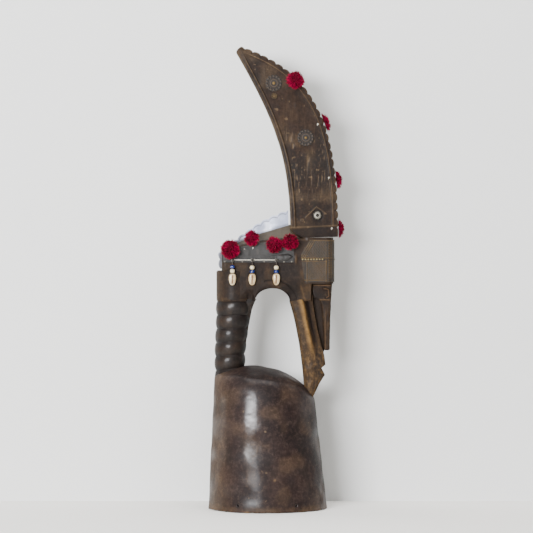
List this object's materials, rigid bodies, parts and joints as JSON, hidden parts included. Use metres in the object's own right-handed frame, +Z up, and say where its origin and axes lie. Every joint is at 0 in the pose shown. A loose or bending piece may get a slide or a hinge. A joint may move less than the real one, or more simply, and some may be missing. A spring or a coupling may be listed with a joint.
{
  "type": "carved hood mask",
  "caption": "Bell-shaped wooden hood under a ringed neck, a downward-looking animal head and one tall curved horn, with sheet metal, wool pompoms and bead strings.",
  "frame": {"origin": "centre of the hood's open rim, in the rim's plane", "axes": "+Z up along the hood, +X the way the brow faces, +Y the mask's far side; the near side, -Y, carries the trimmings that show"},
  "size_m": [0.2481, 0.218, 0.847],
  "materials": {
    "hood_wood": "dark, polished and worn",
    "neck_wood": "dark, polished on the rings",
    "head_wood": "dark, rubbed",
    "jaw_wood": "dark with golden wear on the ridge",
    "muzzle_wood": "dark, rubbed",
    "horn_wood": "dark, with worn brown streaks",
    "peg_wood": "split hardwood",
    "crest_metal": "thin bright sheet",
    "saddle_metal": "thin dark tarnished sheet",
    "brow_brass": "embossed, tarnished",
    "muzzle_brass": "embossed, tarnished",
    "brass_tacks": "domed heads, rubbed",
    "steel_tacks": "small domed heads",
    "dark_nails": "darkened",
    "eye_metal": "cast, dull",
    "rosette_metal": "stamped, dark in the hollows",
    "small_rosette_metal": "stamped",
    "cotton_cord": "twisted cotton",
    "bead_thread": "waxed thread",
    "white_thread": "knotted cotton",
    "cream_glass": "opaque glass bead",
    "blue_glass": "opaque glass bead",
    "cowrie_shell": "glossy shell",
    "wool": "cut pile wool"
  },
  "bodies": {
    "mask": {"hood": "hood_wood", "ribbed_neck": "neck_wood", "head_block": "head_wood", "lower_jaw": "jaw_wood", "upper_jaw": "muzzle_wood", "horn": "horn_wood", "horn_peg": "peg_wood", "crest_sheet": "crest_metal", "saddle_plate_near": "saddle_metal", "saddle_plate_far": "saddle_metal", "brow_brass": "brow_brass", "muzzle_brass": "muzzle_brass", "seam_tacks": "brass_tacks", "saddle_tacks": "steel_tacks", "eye_boss_near": "eye_metal", "eye_boss_far": "eye_metal", "eye_nails": "dark_nails", "rosette_upper_near": "rosette_metal", "rosette_upper_far": "rosette_metal", "rosette_lower_near": "rosette_metal", "rosette_lower_far": "rosette_metal", "small_rosettes": "small_rosette_metal", "rosette_tacks": "brass_tacks", "cord_near": "cotton_cord", "cord_far": "cotton_cord", "cord_nails": "dark_nails", "pompom_horn_side": "wool", "pompom_horn_upper": "wool", "pompom_horn_middle": "wool", "pompom_horn_lower": "wool", "pompom_nape": "wool", "pompom_ridge": "wool", "pompom_shoulder": "wool", "pompom_cheek": "wool", "pompoms_far": "wool", "pompom_ties": "white_thread"},
    "thread_rear_near": {"string_rear_near": "bead_thread"},
    "beads_rear_near": {"cream_bead_rear_near": "cream_glass", "blue_bead_rear_near": "blue_glass", "cowrie_rear_near": "cowrie_shell"},
    "thread_middle_near": {"string_middle_near": "bead_thread"},
    "beads_middle_near": {"cream_bead_middle_near": "cream_glass", "blue_bead_middle_near": "blue_glass", "cowrie_middle_near": "cowrie_shell"},
    "thread_front_near": {"string_front_near": "bead_thread"},
    "beads_front_near": {"cream_bead_front_near": "cream_glass", "blue_bead_front_near": "blue_glass", "cowrie_front_near": "cowrie_shell"},
    "thread_rear_far": {"string_rear_far": "bead_thread"},
    "beads_rear_far": {"cream_bead_rear_far": "cream_glass", "blue_bead_rear_far": "blue_glass", "cowrie_rear_far": "cowrie_shell"},
    "thread_middle_far": {"string_middle_far": "bead_thread"},
    "beads_middle_far": {"cream_bead_middle_far": "cream_glass", "blue_bead_middle_far": "blue_glass", "cowrie_middle_far": "cowrie_shell"},
    "thread_front_far": {"string_front_far": "bead_thread"},
    "beads_front_far": {"cream_bead_front_far": "cream_glass", "blue_bead_front_far": "blue_glass", "cowrie_front_far": "cowrie_shell"}
  },
  "joints": [
    {"name": "swing_rear_near", "type": "hinge", "parent": "mask", "child": "thread_rear_near", "pos_m": [-0.064, -0.0385, 0.456], "axis": [0, 1, 0], "range_deg": [-25, 25]},
    {"name": "lift_rear_near", "type": "hinge", "parent": "thread_rear_near", "child": "beads_rear_near", "pos_m": [-0.064, -0.0385, 0.4475], "axis": [-1, 0, 0], "range_deg": [0, 50]},
    {"name": "swing_middle_near", "type": "hinge", "parent": "mask", "child": "thread_middle_near", "pos_m": [-0.028, -0.0385, 0.456], "axis": [0, 1, 0], "range_deg": [-25, 25]},
    {"name": "lift_middle_near", "type": "hinge", "parent": "thread_middle_near", "child": "beads_middle_near", "pos_m": [-0.028, -0.0385, 0.4475], "axis": [-1, 0, 0], "range_deg": [0, 50]},
    {"name": "swing_front_near", "type": "hinge", "parent": "mask", "child": "thread_front_near", "pos_m": [0.016, -0.0385, 0.456], "axis": [0, 1, 0], "range_deg": [-25, 25]},
    {"name": "lift_front_near", "type": "hinge", "parent": "thread_front_near", "child": "beads_front_near", "pos_m": [0.016, -0.0385, 0.4475], "axis": [-1, 0, 0], "range_deg": [0, 50]},
    {"name": "swing_rear_far", "type": "hinge", "parent": "mask", "child": "thread_rear_far", "pos_m": [-0.064, 0.0385, 0.456], "axis": [0, 1, 0], "range_deg": [-25, 25]},
    {"name": "lift_rear_far", "type": "hinge", "parent": "thread_rear_far", "child": "beads_rear_far", "pos_m": [-0.064, 0.0385, 0.4475], "axis": [1, 0, 0], "range_deg": [0, 50]},
    {"name": "swing_middle_far", "type": "hinge", "parent": "mask", "child": "thread_middle_far", "pos_m": [-0.028, 0.0385, 0.456], "axis": [0, 1, 0], "range_deg": [-25, 25]},
    {"name": "lift_middle_far", "type": "hinge", "parent": "thread_middle_far", "child": "beads_middle_far", "pos_m": [-0.028, 0.0385, 0.4475], "axis": [1, 0, 0], "range_deg": [0, 50]},
    {"name": "swing_front_far", "type": "hinge", "parent": "mask", "child": "thread_front_far", "pos_m": [0.016, 0.0385, 0.456], "axis": [0, 1, 0], "range_deg": [-25, 25]},
    {"name": "lift_front_far", "type": "hinge", "parent": "thread_front_far", "child": "beads_front_far", "pos_m": [0.016, 0.0385, 0.4475], "axis": [1, 0, 0], "range_deg": [0, 50]}
  ]
}
